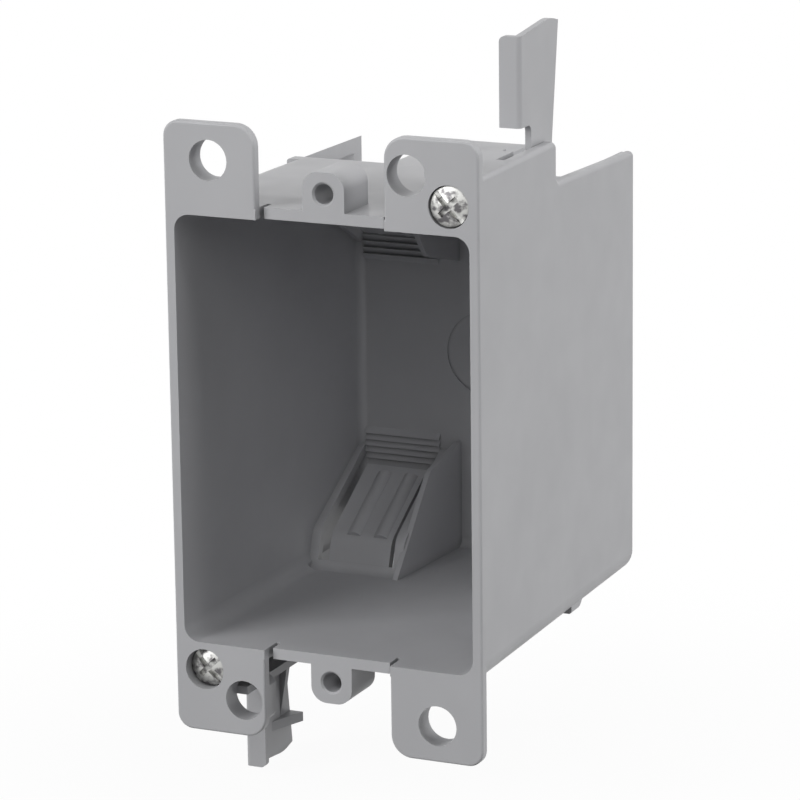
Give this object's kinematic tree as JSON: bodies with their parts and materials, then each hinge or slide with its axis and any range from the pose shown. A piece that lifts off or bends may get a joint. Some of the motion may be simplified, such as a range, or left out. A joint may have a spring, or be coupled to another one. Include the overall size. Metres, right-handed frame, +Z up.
{
  "type": "single-gang old-work electrical box",
  "caption": "Single-gang plastic back box for a finished wall, with ears that lie on the board and swing-out clamps on long screws that grip behind it.",
  "frame": {"origin": "midway between the two device-screw holes, on the plane of the rims and bosses that carry them", "axes": "+Y into the wall, +Z up the box, +X to the right as the opening is looked into"},
  "size_m": [0.0566, 0.0701, 0.1336],
  "materials": {
    "moulding": "satin",
    "clamp_plastic": "satin",
    "screw_steel": "satin"
  },
  "bodies": {
    "box": {"box": "moulding"},
    "upper_screw": {"upper_screw": "screw_steel"},
    "upper_clamp": {"upper_clamp": "clamp_plastic"},
    "lower_screw": {"lower_screw": "screw_steel"},
    "lower_clamp": {"lower_clamp": "clamp_plastic"}
  },
  "joints": [
    {"name": "upper_swing", "type": "hinge", "parent": "box", "child": "upper_screw", "pos_m": [0.02295, 0, 0.0416], "axis": [0, 1, 0], "range_deg": [-88, 0]},
    {"name": "upper_draw", "type": "slide", "parent": "upper_screw", "child": "upper_clamp", "axis": [0, -1, 0], "range_m": [0, 0.0085]},
    {"name": "lower_swing", "type": "hinge", "parent": "box", "child": "lower_screw", "pos_m": [-0.02295, 0, -0.0416], "axis": [0, 1, 0], "range_deg": [-88, 0]},
    {"name": "lower_draw", "type": "slide", "parent": "lower_screw", "child": "lower_clamp", "axis": [0, -1, 0], "range_m": [0, 0.0085]}
  ]
}
